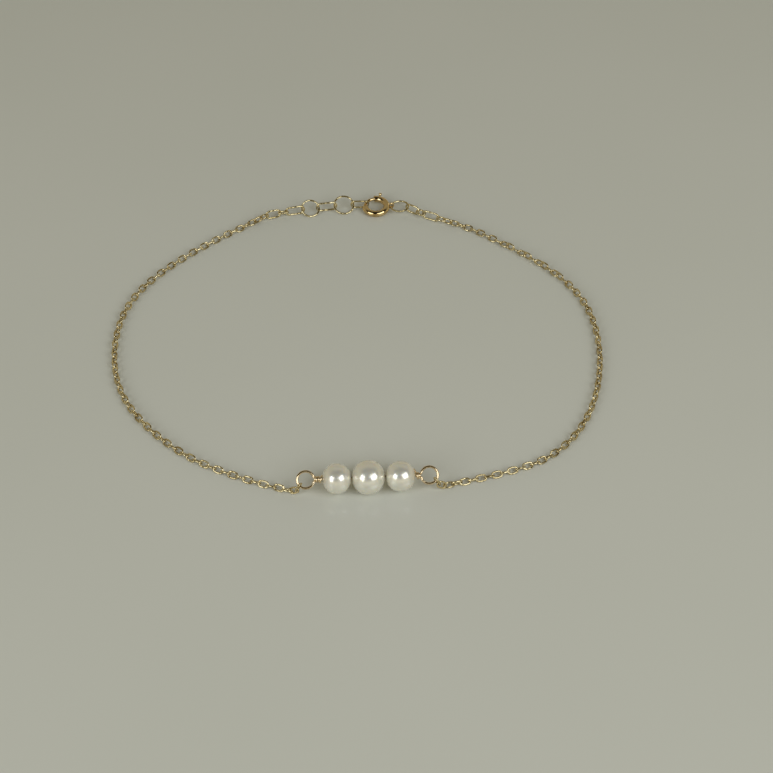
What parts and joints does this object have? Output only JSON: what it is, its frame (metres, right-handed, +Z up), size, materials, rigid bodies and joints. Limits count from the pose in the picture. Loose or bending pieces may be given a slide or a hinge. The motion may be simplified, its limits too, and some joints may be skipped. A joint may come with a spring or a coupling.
{
  "type": "pearl bracelet",
  "caption": "Closed bracelet lying flat: round pearls on a wrapped wire bar, fine cable chain, extender of oval links and rings, and a spring ring clasp with a sliding trigger.",
  "frame": {"origin": "on the surface the bracelet lies on, in the middle of its outline seen from above", "axes": "+Z up from the surface; -Y towards the pearls, +Y towards the clasp; +X to the right seen with the pearls in front"},
  "size_m": [0.0668, 0.0654, 0.0044],
  "materials": {
    "gold": "polished yellow gold-filled wire",
    "pearl": "lustrous creamy white nacre"
  },
  "bodies": {
    "bracelet": {"pearl_left": "pearl", "pearl_centre": "pearl", "pearl_right": "pearl", "bar_wire": "gold", "chain_left": "gold", "chain_right": "gold", "oval_link_1": "gold", "oval_link_2": "gold", "oval_link_3": "gold", "oval_link_4": "gold", "oval_link_5": "gold", "oval_link_6": "gold", "small_link_1": "gold", "small_link_2": "gold", "extender_ring_1": "gold", "extender_ring_2": "gold", "jump_ring": "gold", "clasp_body": "gold"},
    "trigger": {"clasp_trigger": "gold"}
  },
  "joints": [
    {"name": "trigger_draw", "type": "hinge", "parent": "bracelet", "child": "trigger", "pos_m": [0.00245, 0.0299, 0.0007], "axis": [0, -0.1392, 0.9903], "range_deg": [-42, 0], "stiffness_Nm_per_rad": 0.0008}
  ]
}
